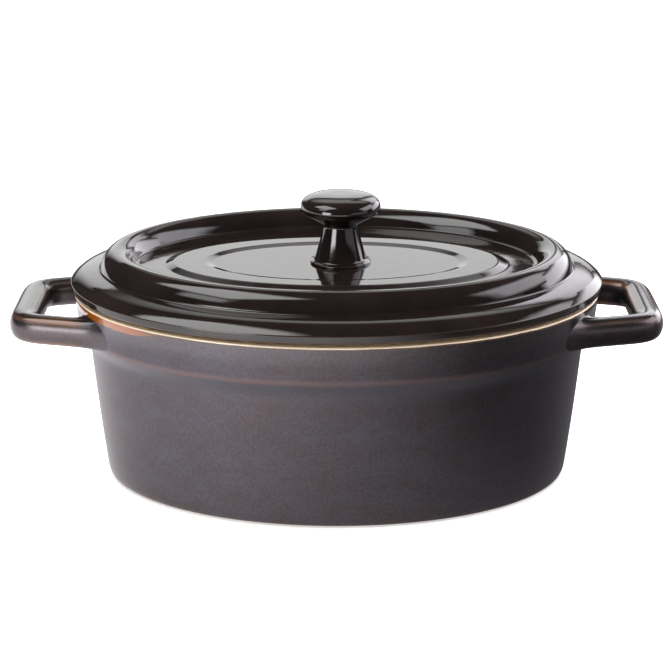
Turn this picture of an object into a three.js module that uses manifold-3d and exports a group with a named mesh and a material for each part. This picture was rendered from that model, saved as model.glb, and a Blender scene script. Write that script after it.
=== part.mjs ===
// Oval stoneware casserole dish with two loop handles and a lift-off lid.
// Millimetres, +Z up. The origin is the centre of the foot, and X runs through the two handles.
// Every level of the dish and the lid is an ellipse, given by its half length (along X) and half
// width (along Y). An inset is how far an ellipse lies inside the outer edge of the dish's rim.
import * as THREE from "three";
import { mergeVertices } from "three/addons/utils/BufferGeometryUtils.js";
import Module from "manifold-3d";

const wasm = await Module();
wasm.setup();

// ---- Driving dimensions -------------------------------------------------------------------
const OVERALL_LENGTH = 326.5; // tip to tip over the handles
const RIM_HALF_LENGTH = 132.5; // outer edge of the dish's rim
const RIM_HALF_WIDTH = 103;
const RIM_HEIGHT = 96; // the land that the lid sits on
const JOINT_GAP = 0.3; // clear space wherever two clay pieces meet

const WALL_TOP_INSET = 7.4; // outside of the wall, where it runs into the collar
const WALL_FOOT_INSET = 15.2; // outside of the wall, carried on down to the table
const WALL_BULGE = 0.5; // the wall swells outwards by this much at mid height
const WALL_THICKNESS = 6.8;
const FLOOR_THICKNESS = 8;
const FOOT_INSIDE_INSET = 28.5; // inner edge of the ring that the dish stands on
const FOOT_RECESS = 2.4; // how far the underside is hollowed inside that ring

const COLLAR_BOTTOM = 72.2; // where the wall turns out into the collar
const COLLAR_EDGE_INSET = 2.5; // the collar's lower edge
const COLLAR_EDGE_RISE = 4.6; // its height over that turn
const LAND_INSIDE_INSET = 8; // inner edge of the land
const MOUTH_INSET = 9.2; // wall of the mouth, beside the lid's locating rim
const MOUTH_DEPTH = 11;

const LID_OVERHANG = 1.4; // the lid's edge stands this far outside the rim
const FLANGE_ROLL_INSET = 11.5; // the flange is a quarter of an oval roll about this line
const FLANGE_ROLL_HEIGHT = 99.8;
const FLANGE_ROLL_RISE = 7;
const SEAT_OUTER_INSET = 2.8; // the flat seat ends here, and the edge rises from it
const EDGE_RISE = 2.4;
const RING_FOOT_INSET = 12.9; // outer foot of the raised ring
const RING_FOOT_HEIGHT = 107;
const RING_CREST_INSET = 22.3;
const RING_CREST_HEIGHT = 117;
const RING_ROLL_HEIGHT = 104.5; // the ring is most of an oval roll about a line at this height
const RING_HALF_WIDTH = 9.3;
const CHANNEL_HALF_WIDTH = 2.7; // hollow under the raised ring
const CHANNEL_DEPTH = 9.5; // clay between its top and the crest
const WELL_EDGE_INSET = 31.5; // inner foot of the raised ring
const WELL_HEIGHT = 108.8; // middle of the lid's sunken top
const WELL_STEP = 0.8; // height of each moulded step in the well
const STEP_HALF_RUN = 2.1; // half of the width over which a step rises
const INNER_OVAL = { length: 64.4, width: 35 }; // half sizes of the two moulded ovals
const OUTER_OVAL = { length: 84.2, width: 48 };
const LID_THICKNESS = 7;

const LOCATING_CLEARANCE = 1.4; // side play between the locating rim and the dish
const LOCATING_WIDTH = 4.6;
const LOCATING_DEPTH = 6;

const KNOB_TOP = 144.2; // height of the whole piece
const KNOB_OFFSET = 2; // it was luted on a little to the right of the middle
const KNOB_CAP_RADIUS = 20;
const KNOB_CAP_DOME = 6.8; // height of the cap above its widest level
const KNOB_CAP_FULLNESS = 3; // 2 would make the dome a plain ellipse; more makes it flatter on top
const KNOB_NECK_RADIUS = 8.5;
const KNOB_STEM_RADIUS = 13.3; // foot of the stem
const KNOB_FOOT_RADIUS = 15; // little flange that the stem stands on

const HANDLE_BOTTOM = 76;
const HANDLE_THICKNESS = 14.8;
const HANDLE_TIP_WIDTH = 67; // over the grip bar
const HANDLE_FLARE = 0.3; // each arm spreads by this much per millimetre towards the dish
const HANDLE_BAR = 14.5; // width of the grip bar, seen from above
const HANDLE_ARM = 13; // width of each arm
const HANDLE_OUTER_REACH = 20; // rounding of the plan's outer corners
const HANDLE_INNER_REACH = 7;
const HANDLE_ROOT_INSET = 28; // how far in the plan runs before it is cut to the collar
const HANDLE_EDGE = 4.4; // rounding of the long edges

const OVAL_SEGMENTS = 64;
const KNOB_SEGMENTS = 36;
const DOME_STEPS = 8;
const CORNER_STEPS = 2;
const BROAD_REACH = 6; // corners that run further than this get more steps
const BROAD_CORNER_STEPS = 6;

// ---- Materials ----------------------------------------------------------------------------
const satinGlaze = new THREE.MeshStandardMaterial({ color: 0x4a4345, roughness: 0.38, metalness: 0.2 });
const glossGlaze = new THREE.MeshStandardMaterial({ color: 0x14100f, roughness: 0.08, metalness: 0.0 });

// ---- Profiles -----------------------------------------------------------------------------
/** A corner of a profile. The rounding curve leaves both of its sides at the reach from it. */
const corner = (x, y, z, reach = 0) => ({ point: new THREE.Vector3(x, y, z), reach });

/** An ellipse inside the rim's outer edge, as a corner of an oval body's profile. */
const inset = (distance, z, reach) => corner(RIM_HALF_LENGTH - distance, RIM_HALF_WIDTH - distance, z, reach);

/** An ellipse that lies a distance outside one of the lid's moulded ovals. */
const around = (oval, distance, z, reach) => corner(oval.length + distance, oval.width + distance, z, reach);

/** A circle, for turned pieces. */
const circle = (radius, z, reach) => corner(radius, radius, z, reach);

/** The point on the upright axis that closes a profile. */
const axis = (z) => corner(0, 0, z);

/** Points of a roll, in degrees from its outermost point up over its top and down inside. */
function roll(middleInset, z, run, rise, from, to, steps) {
  return Array.from({ length: steps + 1 }, (_, i) => {
    const angle = THREE.MathUtils.degToRad(from + ((to - from) * i) / steps);
    return inset(middleInset - run * Math.cos(angle), z + rise * Math.sin(angle));
  });
}

/** Turns corners into points, each corner with a reach becoming a short curve. */
function rounded(corners) {
  return corners.flatMap(({ point, reach }, i) => {
    if (reach === 0) {
      return [point];
    }
    const before = corners[i - 1].point;
    const after = corners[i + 1].point;
    const start = before.clone().sub(point).setLength(reach).add(point);
    const end = after.clone().sub(point).setLength(reach).add(point);
    const steps = reach < BROAD_REACH ? CORNER_STEPS : BROAD_CORNER_STEPS;
    return new THREE.QuadraticBezierCurve3(start, point, end).getPoints(steps);
  });
}

/** Sweeps a profile of ellipses into a body: a lathe of the half lengths, squeezed to the half widths. */
function ovalBody(profile, segments = OVAL_SEGMENTS) {
  const halfLengths = profile.map(({ x, z }) => new THREE.Vector2(x, z));
  const geometry = new THREE.LatheGeometry(halfLengths, segments);
  const position = geometry.getAttribute("position");
  for (let i = 0; i < position.count; i += 1) {
    const { x: halfLength, y: halfWidth } = profile[i % profile.length];
    const squeeze = halfLength > 0 ? halfWidth / halfLength : 1;
    // The lathe turns about +Y from +Z: its Z, X and Y become the body's X, Y and Z.
    position.setXYZ(i, position.getZ(i), position.getX(i) * squeeze, position.getY(i));
  }
  return geometry;
}

// ---- Booleans -----------------------------------------------------------------------------
function toSolid(geometry) {
  const bare = geometry.clone();
  bare.deleteAttribute("normal");
  bare.deleteAttribute("uv");
  const merged = mergeVertices(bare, 1e-3);
  return new wasm.Manifold(
    new wasm.Mesh({
      numProp: 3,
      vertProperties: merged.getAttribute("position").array,
      triVerts: new Uint32Array(merged.index.array),
    }),
  );
}

function toGeometry(solid) {
  const mesh = solid.getMesh();
  const geometry = new THREE.BufferGeometry();
  geometry.setAttribute("position", new THREE.BufferAttribute(mesh.vertProperties, 3));
  geometry.setIndex(new THREE.BufferAttribute(mesh.triVerts, 1));
  geometry.computeVertexNormals();
  return geometry;
}

// ---- Dish ---------------------------------------------------------------------------------
/** Outside of the dish from the table up to the land on the rim, with an extra clearance all over. */
function dishOutside(clearance = 0) {
  const middle = COLLAR_BOTTOM / 2;
  const middleInset = (WALL_TOP_INSET + WALL_FOOT_INSET) / 2 - WALL_BULGE;
  return [
    inset(WALL_FOOT_INSET - clearance, 0, 7.5),
    inset(middleInset - clearance, middle, 14),
    inset(WALL_TOP_INSET - clearance, COLLAR_BOTTOM, 2),
    inset(COLLAR_EDGE_INSET - clearance, COLLAR_BOTTOM + COLLAR_EDGE_RISE, 3),
    inset(-clearance, RIM_HEIGHT, 1.6),
  ];
}

function dishBody() {
  const wallInside = WALL_TOP_INSET + WALL_THICKNESS;
  const floorInside = WALL_FOOT_INSET + WALL_THICKNESS - 0.5;
  return ovalBody(
    rounded([
      axis(FOOT_RECESS),
      inset(FOOT_INSIDE_INSET + 2, FOOT_RECESS, 1),
      inset(FOOT_INSIDE_INSET, 0),
      ...dishOutside(),
      inset(LAND_INSIDE_INSET, RIM_HEIGHT, 1),
      inset(MOUTH_INSET, RIM_HEIGHT - 2.4, 1),
      inset(MOUTH_INSET + 0.3, RIM_HEIGHT - MOUTH_DEPTH, 3),
      inset(wallInside, COLLAR_BOTTOM - 3, 6),
      inset(floorInside, FLOOR_THICKNESS, 13),
      axis(FLOOR_THICKNESS),
    ]),
  );
}

// ---- Handles ------------------------------------------------------------------------------
/** Plan of one loop handle, carried on inside the collar, where it is cut off. */
function handlePlan() {
  const tip = OVERALL_LENGTH / 2;
  const inside = RIM_HALF_LENGTH - HANDLE_ROOT_INSET;
  const grip = tip - HANDLE_BAR;
  const outerAt = (x) => HANDLE_TIP_WIDTH / 2 + HANDLE_FLARE * (tip - x);
  const innerAt = (x) => outerAt(x) - HANDLE_ARM;
  const outline = rounded([
    corner(inside, -outerAt(inside), 0),
    corner(tip, -outerAt(tip), 0, HANDLE_OUTER_REACH),
    corner(tip, outerAt(tip), 0, HANDLE_OUTER_REACH),
    corner(inside, outerAt(inside), 0),
    corner(inside, innerAt(inside), 0),
    corner(grip, innerAt(grip), 0, HANDLE_INNER_REACH),
    corner(grip, -innerAt(grip), 0, HANDLE_INNER_REACH),
    corner(inside, -innerAt(inside), 0),
  ]);
  return new THREE.Shape(outline.map(({ x, y }) => new THREE.Vector2(x, y)));
}

/** A loop handle on the +X end, its arms cut to fit the collar. */
function handle() {
  const loop = new THREE.ExtrudeGeometry(handlePlan(), {
    depth: HANDLE_THICKNESS - 2 * HANDLE_EDGE,
    bevelThickness: HANDLE_EDGE,
    bevelSize: HANDLE_EDGE,
    bevelOffset: -HANDLE_EDGE,
    bevelSegments: 3,
  });
  loop.translate(0, 0, HANDLE_BOTTOM + HANDLE_EDGE);
  const collar = ovalBody(rounded([axis(0), ...dishOutside(JOINT_GAP), axis(RIM_HEIGHT)]));
  return toGeometry(toSolid(loop).subtract(toSolid(collar)));
}

// ---- Lid ----------------------------------------------------------------------------------
const SEAT_HEIGHT = RIM_HEIGHT + JOINT_GAP;
const LOCATING_OUTER_INSET = MOUTH_INSET + LOCATING_CLEARANCE;
const LOCATING_INNER_INSET = LOCATING_OUTER_INSET + LOCATING_WIDTH;

/** The lid's moulded shell: underside from the middle outwards, then the top back to the middle. */
function lidShell() {
  const ceiling = WELL_HEIGHT - LID_THICKNESS;
  const channelTop = RING_CREST_HEIGHT - CHANNEL_DEPTH;
  const groove = WELL_HEIGHT - WELL_STEP;
  const flangeRun = FLANGE_ROLL_INSET + LID_OVERHANG;
  const ringRise = RING_CREST_HEIGHT - RING_ROLL_HEIGHT;
  return ovalBody(
    rounded([
      axis(ceiling),
      inset(WELL_EDGE_INSET, ceiling, 3),
      inset(RING_CREST_INSET + CHANNEL_HALF_WIDTH, channelTop, 2),
      inset(RING_CREST_INSET - CHANNEL_HALF_WIDTH, channelTop, 2),
      inset(LOCATING_INNER_INSET + 1, SEAT_HEIGHT, 0.8),
      inset(SEAT_OUTER_INSET, SEAT_HEIGHT, 1),
      inset(-LID_OVERHANG, SEAT_HEIGHT + EDGE_RISE, 0.8),
      ...roll(FLANGE_ROLL_INSET, FLANGE_ROLL_HEIGHT, flangeRun, FLANGE_ROLL_RISE, 0, 72, 5),
      inset(RING_FOOT_INSET, RING_FOOT_HEIGHT, 1),
      ...roll(RING_CREST_INSET, RING_ROLL_HEIGHT, RING_HALF_WIDTH, ringRise, 15, 158, 10),
      inset(WELL_EDGE_INSET + 1, groove, 2),
      around(OUTER_OVAL, STEP_HALF_RUN, groove, 1.2),
      around(OUTER_OVAL, -STEP_HALF_RUN, WELL_HEIGHT + WELL_STEP, 1.2),
      around(INNER_OVAL, STEP_HALF_RUN, WELL_HEIGHT + WELL_STEP, 1.2),
      around(INNER_OVAL, -STEP_HALF_RUN, WELL_HEIGHT, 1.2),
      axis(WELL_HEIGHT),
    ]),
  );
}

/** Ring of clay under the lid that drops into the dish's mouth and keeps the lid from sliding. */
function lidLocatingRim() {
  const top = SEAT_HEIGHT - JOINT_GAP;
  const bottom = RIM_HEIGHT - LOCATING_DEPTH;
  return ovalBody(
    rounded([
      inset(LOCATING_INNER_INSET, top),
      inset(LOCATING_INNER_INSET, bottom, 1.2),
      inset(LOCATING_OUTER_INSET, bottom, 1.6),
      inset(LOCATING_OUTER_INSET, top),
      inset(LOCATING_INNER_INSET, top),
    ]),
  );
}

// ---- Knob ---------------------------------------------------------------------------------
/** Turned mushroom knob: a flanged foot, a waisted stem and a domed cap. */
function knob() {
  const foot = WELL_HEIGHT + JOINT_GAP;
  const capWidest = KNOB_TOP - KNOB_CAP_DOME;
  const power = 2 / KNOB_CAP_FULLNESS;
  const dome = Array.from({ length: DOME_STEPS }, (_, i) => {
    const angle = (i / DOME_STEPS) * (Math.PI / 2);
    const radius = KNOB_CAP_RADIUS * Math.cos(angle) ** power;
    return circle(radius, capWidest + KNOB_CAP_DOME * Math.sin(angle) ** power);
  });
  return ovalBody(
    rounded([
      axis(foot),
      circle(KNOB_FOOT_RADIUS, foot, 0.4),
      circle(KNOB_FOOT_RADIUS, foot + 1, 0.4),
      circle(KNOB_STEM_RADIUS, foot + 1.8, 0.9),
      circle(KNOB_NECK_RADIUS, foot + 19.5, 2.6),
      circle(KNOB_CAP_RADIUS, capWidest - 2.6, 2.4),
      ...dome,
      axis(KNOB_TOP),
    ]),
    KNOB_SEGMENTS,
  );
}

// ---- Assembly -----------------------------------------------------------------------------
function piece(name, geometry, material) {
  const mesh = new THREE.Mesh(geometry, material.clone());
  mesh.name = name;
  return mesh;
}

const dish = new THREE.Group();
dish.add(piece("dish_body", dishBody(), satinGlaze));
dish.add(piece("right_handle", handle(), satinGlaze));
const leftHandle = piece("left_handle", handle(), satinGlaze);
leftHandle.rotation.z = Math.PI;
dish.add(leftHandle);

const lid = new THREE.Group();
lid.add(piece("lid_shell", lidShell(), glossGlaze));
lid.add(piece("lid_locating_rim", lidLocatingRim(), glossGlaze));
const lidKnob = piece("lid_knob", knob(), glossGlaze);
lidKnob.position.x = KNOB_OFFSET;
lid.add(lidKnob);

const casserole = new THREE.Group();
casserole.add(dish, lid);

export default casserole;
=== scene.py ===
"""Looks of the covered oval casserole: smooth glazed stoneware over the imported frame.

Lengths are metres in the frame's own axes: X along the dish through both handles, Z up.
Every level of the dish and of the lid is an ellipse. An inset is how far such an ellipse lies
inside the outer edge of the dish's rim.
"""
import logging
import math
from dataclasses import dataclass
from enum import Enum
from itertools import pairwise
from typing import Iterable, Optional, Sequence, Union

import bpy
import numpy as np
from mathutils import Matrix, Vector


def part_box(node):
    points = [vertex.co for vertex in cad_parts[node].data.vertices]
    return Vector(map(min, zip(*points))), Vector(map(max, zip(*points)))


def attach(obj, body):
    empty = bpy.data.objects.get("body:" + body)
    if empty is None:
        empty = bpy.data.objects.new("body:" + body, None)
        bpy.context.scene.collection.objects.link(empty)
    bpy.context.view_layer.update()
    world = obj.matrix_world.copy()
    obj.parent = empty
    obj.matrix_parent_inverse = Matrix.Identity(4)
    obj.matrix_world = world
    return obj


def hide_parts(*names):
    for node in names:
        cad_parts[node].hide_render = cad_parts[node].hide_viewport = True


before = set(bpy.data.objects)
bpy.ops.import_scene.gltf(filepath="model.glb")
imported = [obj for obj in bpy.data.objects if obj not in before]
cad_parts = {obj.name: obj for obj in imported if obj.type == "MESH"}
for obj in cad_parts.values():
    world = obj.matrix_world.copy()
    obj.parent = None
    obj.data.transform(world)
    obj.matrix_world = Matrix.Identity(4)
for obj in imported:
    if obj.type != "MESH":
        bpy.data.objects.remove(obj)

log = logging.getLogger("casserole")
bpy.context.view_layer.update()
MM = 0.001
FULL_TURN = 2 * math.pi


class Body(Enum):
    """The frame's moving bodies."""

    DISH = "dish"
    LID = "lid"


class Slot(Enum):
    """The record's material slots."""

    DISH = "dish_glaze"
    HANDLE = "handle_glaze"
    LID = "lid_glaze"
    KNOB = "knob_glaze"


class Side(Enum):
    """The end of the dish that a handle stands on."""

    RIGHT = 1
    LEFT = -1


# ---- Measures from the frame ---------------------------------------------------------------
def half_size(node: str) -> Vector:
    """Half of a frame node's length, width and height."""
    low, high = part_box(node)
    return (high - low) / 2


RIM_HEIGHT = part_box("dish_body")[1].z
OVERHANG = 1.35 * MM
EDGE_HALF_LENGTH = half_size("lid_shell").x - OVERHANG
EDGE_HALF_WIDTH = half_size("lid_shell").y - OVERHANG


# ---- Shapes --------------------------------------------------------------------------------
@dataclass(frozen=True)
class Oval:
    """A level ellipse of a body's profile.

    Attributes:
        half_length: half size along X.
        half_width: half size along Y.
        height: place along Z.
        reach: how far the rounding of this corner runs along both sides of it.
    """

    half_length: float
    half_width: float
    height: float
    reach: float = 0.0

    def towards(self, other: "Oval") -> "Oval":
        """Finds the ring that starts or ends this corner's rounding.

        Args:
            other: the corner before or after this one.

        Returns:
            The ellipse that lies this corner's reach away from it, on the way to the other.
        """
        here = Vector((self.half_length, self.half_width, self.height))
        there = Vector((other.half_length, other.half_width, other.height))
        return Oval(*(here + (there - here).normalized() * self.reach))


def inset(distance: float, height: float, reach: float = 0.0) -> Oval:
    """An ellipse inside the rim's outer edge; all three values are millimetres.

    Args:
        distance: its inset.
        height: its place along Z.
        reach: the reach of its rounding.

    Returns:
        The ellipse, in metres.
    """
    distance *= MM
    return Oval(EDGE_HALF_LENGTH - distance, EDGE_HALF_WIDTH - distance, height * MM, reach * MM)


def roll(middle: float, height: float, run: float, rise: float, degrees: Iterable[float]) -> list[Oval]:
    """Rings over a moulding that is rounded like part of an ellipse; lengths in millimetres.

    Args:
        middle: inset of the moulding's middle line.
        height: height of that line.
        run: half of the moulding's width.
        rise: its height over the line.
        degrees: the rings' places, from its outermost point over the top to the inside.

    Returns:
        The rings, in order.
    """
    drawn = []
    for turned in degrees:
        angle = math.radians(turned)
        drawn.append(inset(middle - run * math.cos(angle), height + rise * math.sin(angle)))
    return drawn


def circle(radius: float, height: float, reach: float = 0.0) -> Oval:
    """A circle of a turned piece; all three values in millimetres."""
    return Oval(radius * MM, radius * MM, height * MM, reach * MM)


def rings(corners: Sequence[Oval]) -> list[Oval]:
    """The rings to draw a body through.

    Args:
        corners: the body's profile.

    Returns:
        The profile with three rings close together at each rounded corner.
    """
    drawn = []
    for number, here in enumerate(corners):
        if here.reach > 0:
            drawn += [here.towards(corners[number - 1]), here, here.towards(corners[number + 1])]
        else:
            drawn.append(here)
    return drawn


class Modelling:
    """Edit-mode work that several pieces share."""

    @staticmethod
    def clear_selection() -> None:
        """Leaves no object selected, in object mode."""
        if bpy.context.object and bpy.context.object.mode != "OBJECT":
            bpy.ops.object.mode_set(mode="OBJECT")
        bpy.ops.object.select_all(action="DESELECT")

    @staticmethod
    def make_active(piece: bpy.types.Object) -> None:
        """Selects one object alone and makes it the active one."""
        Modelling.clear_selection()
        piece.select_set(True)
        bpy.context.view_layer.objects.active = piece

    @staticmethod
    def cap() -> None:
        """Closes the selected ring with a flat fan of faces."""
        bpy.ops.mesh.edge_face_add()
        bpy.ops.mesh.poke()

    @staticmethod
    def subdivide_smooth(piece: bpy.types.Object, levels: int) -> None:
        """Turns the cage into its smooth surface and applies it.

        Args:
            piece: the cage.
            levels: how many times it is subdivided.
        """
        Modelling.make_active(piece)
        bpy.ops.object.modifier_add(type="SUBSURF")
        surface = piece.modifiers[-1]
        surface.levels = levels
        surface.render_levels = levels
        bpy.ops.object.modifier_apply(modifier=surface.name)
        bpy.ops.object.shade_smooth()

    @staticmethod
    def throw(
        name: str, corners: Sequence[Oval], sides: int = 64, levels: int = 2, centre_x: float = 0.0
    ) -> bpy.types.Object:
        """Models an oval or round body by drawing one ring up through its whole profile.

        Args:
            name: the piece's name.
            corners: the profile, from the pole under the body round to the pole on top of it.
                A profile that ends on the ring it starts from closes on itself instead.
            sides: vertices of each ring of the cage.
            levels: subdivisions of the cage.
            centre_x: where the body's own axis stands along X.

        Returns:
            The finished piece, one closed body.
        """
        # A smooth surface runs inside its cage, by this much on a ring.
        swell = 1 / (2 / 3 + math.cos(FULL_TURN / sides) / 3)
        drawn = rings(corners)
        closed = corners[0] == corners[-1]
        if closed:
            drawn = drawn[:-1]
        first = drawn[0]
        Modelling.clear_selection()
        centre = (0, 0, first.height)
        bpy.ops.mesh.primitive_circle_add(
            vertices=sides, radius=first.half_length * swell, fill_type="NOTHING", location=centre
        )
        piece = bpy.context.object
        piece.name = piece.data.name = name
        bpy.ops.object.transform_apply(location=True)
        bpy.ops.object.mode_set(mode="EDIT")
        bpy.ops.mesh.select_mode(type="VERT")
        bpy.ops.mesh.select_all(action="SELECT")
        squeeze = (1, first.half_width / first.half_length, 1)
        bpy.ops.transform.resize(value=squeeze, center_override=centre)
        for before, after in pairwise(drawn):
            rise = (0, 0, after.height - before.height)
            bpy.ops.mesh.extrude_region_move(TRANSFORM_OT_translate={"value": rise})
            growth = (after.half_length / before.half_length, after.half_width / before.half_width, 1)
            bpy.ops.transform.resize(value=growth, center_override=(0, 0, after.height))
        if closed:
            bpy.ops.mesh.select_all(action="DESELECT")
            bpy.ops.mesh.select_non_manifold()
            bpy.ops.mesh.bridge_edge_loops()
        else:
            Modelling.cap()
            bpy.ops.mesh.select_all(action="DESELECT")
            bpy.ops.mesh.select_non_manifold()
            Modelling.cap()
        bpy.ops.mesh.select_all(action="SELECT")
        bpy.ops.mesh.normals_make_consistent(inside=False)
        bpy.ops.transform.translate(value=(centre_x, 0, 0))
        bpy.ops.object.mode_set(mode="OBJECT")
        Modelling.subdivide_smooth(piece, levels)
        return piece


# ---- Surface measures that the glazes read --------------------------------------------------
EDGE_ATTRIBUTE = "edge"
INSIDE_ATTRIBUTE = "inside"
TOP_ATTRIBUTE = "top"


class Survey:
    """Measures a finished mesh and keeps the result on its vertices for the glaze to read.

    Attributes:
        SOFTENING: how many times each measure is evened out between neighbouring vertices.
    """

    SOFTENING = 2

    def __init__(self, piece: bpy.types.Object) -> None:
        """Reads the piece's vertices, their normals and its edges."""
        self.mesh = piece.data
        count = len(self.mesh.vertices)
        self.places = np.empty(count * 3)
        self.mesh.vertices.foreach_get("co", self.places)
        self.places = self.places.reshape(-1, 3)
        self.normals = np.empty(count * 3)
        self.mesh.vertices.foreach_get("normal", self.normals)
        self.normals = self.normals.reshape(-1, 3)
        ends = np.empty(len(self.mesh.edges) * 2, np.int32)
        self.mesh.edges.foreach_get("vertices", ends)
        self.starts, self.stops = ends.reshape(-1, 2).T

    def keep(self, name: str, values: np.ndarray) -> None:
        """Stores one number per vertex."""
        attribute = self.mesh.attributes.new(name, "FLOAT", "POINT")
        attribute.data.foreach_set("value", values.astype(np.float32))

    def spread(self, values: np.ndarray) -> np.ndarray:
        """Evens the values out between neighbouring vertices.

        Args:
            values: one number per vertex.

        Returns:
            The evened values.
        """
        neighbours = np.bincount(self.starts, minlength=len(values))
        neighbours += np.bincount(self.stops, minlength=len(values))
        for _ in range(self.SOFTENING):
            total = np.bincount(self.starts, values[self.stops], len(values))
            total += np.bincount(self.stops, values[self.starts], len(values))
            values = (values + total / neighbours) / 2
        return values

    def mark_edges(self, radius: float = 3 * MM) -> None:
        """Keeps how sharply the surface turns outwards.

        Args:
            radius: the rounding that counts as 1.
        """
        chords = self.places[self.starts] - self.places[self.stops]
        squared = np.maximum((chords**2).sum(1), 1e-12)
        at_start = 2 * (self.normals[self.starts] * chords).sum(1) / squared
        at_stop = -2 * (self.normals[self.stops] * chords).sum(1) / squared
        sharpest = np.zeros(len(self.places))
        np.maximum.at(sharpest, self.starts, at_start)
        np.maximum.at(sharpest, self.stops, at_stop)
        self.keep(EDGE_ATTRIBUTE, self.spread(np.clip(sharpest * radius, 0, 2)))

    def mark_tops(self, sloping: float = 0.55, level: float = 0.85) -> None:
        """Keeps 1 on the faces that look up, where glaze pools.

        Args:
            sloping: upward part of the normal at which the pool starts.
            level: upward part of the normal from which it is full.
        """
        pooled = np.clip((self.normals[:, 2] - sloping) / (level - sloping), 0, 1)
        self.keep(TOP_ATTRIBUTE, self.spread(pooled))

    def mark_inside(self, land: float) -> None:
        """Keeps 1 on the faces of a vessel that look into it, below the land on its rim.

        Args:
            land: height of that land.
        """
        outwards = self.places * (1 / EDGE_HALF_LENGTH**2, 1 / EDGE_HALF_WIDTH**2, 0)
        outwards /= np.maximum(np.linalg.norm(outwards, axis=1, keepdims=True), 1e-9)
        facing = (self.normals * outwards).sum(1)
        is_wall = facing < -0.2
        is_floor = (self.normals[:, 2] > 0.6) & (self.places[:, 2] < land - 3 * MM)
        self.keep(INSIDE_ATTRIBUTE, self.spread((is_wall | is_floor).astype(float)))


# ---- Shader expressions ---------------------------------------------------------------------
Number = Union[int, float, "Value"]
Socket = bpy.types.NodeSocket
Colour = tuple[float, float, float]


class Value:
    """A number that a shader works out. Python arithmetic on it adds the nodes."""

    def __init__(self, graph: "Graph", socket: Socket) -> None:
        """Wraps one output socket of a graph."""
        self.graph = graph
        self.socket = socket

    def __add__(self, other: Number) -> "Value":
        """Adds a number or a value."""
        return self.graph.maths("ADD", self, other)

    def __sub__(self, other: Number) -> "Value":
        """Takes a number or a value away."""
        return self.graph.maths("SUBTRACT", self, other)

    def __mul__(self, other: Number) -> "Value":
        """Multiplies by a number or a value."""
        return self.graph.maths("MULTIPLY", self, other)

    def __radd__(self, other: Number) -> "Value":
        """Adds this to a number."""
        return self.graph.maths("ADD", other, self)

    def __rsub__(self, other: Number) -> "Value":
        """Takes this away from a number."""
        return self.graph.maths("SUBTRACT", other, self)

    def ramp(self, low: float, high: float) -> "Value":
        """Runs smoothly from 0 to 1.

        Args:
            low: the value at which it is 0.
            high: the value at which it is 1, which may be the smaller of the two.

        Returns:
            The new value.
        """
        node = self.graph.node(
            "ShaderNodeMapRange",
            {"interpolation_type": "SMOOTHSTEP"},
            {"Value": self, "From Min": min(low, high), "From Max": max(low, high)},
        )
        rising = Value(self.graph, node.outputs["Result"])
        return rising if high > low else 1 - rising


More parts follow.
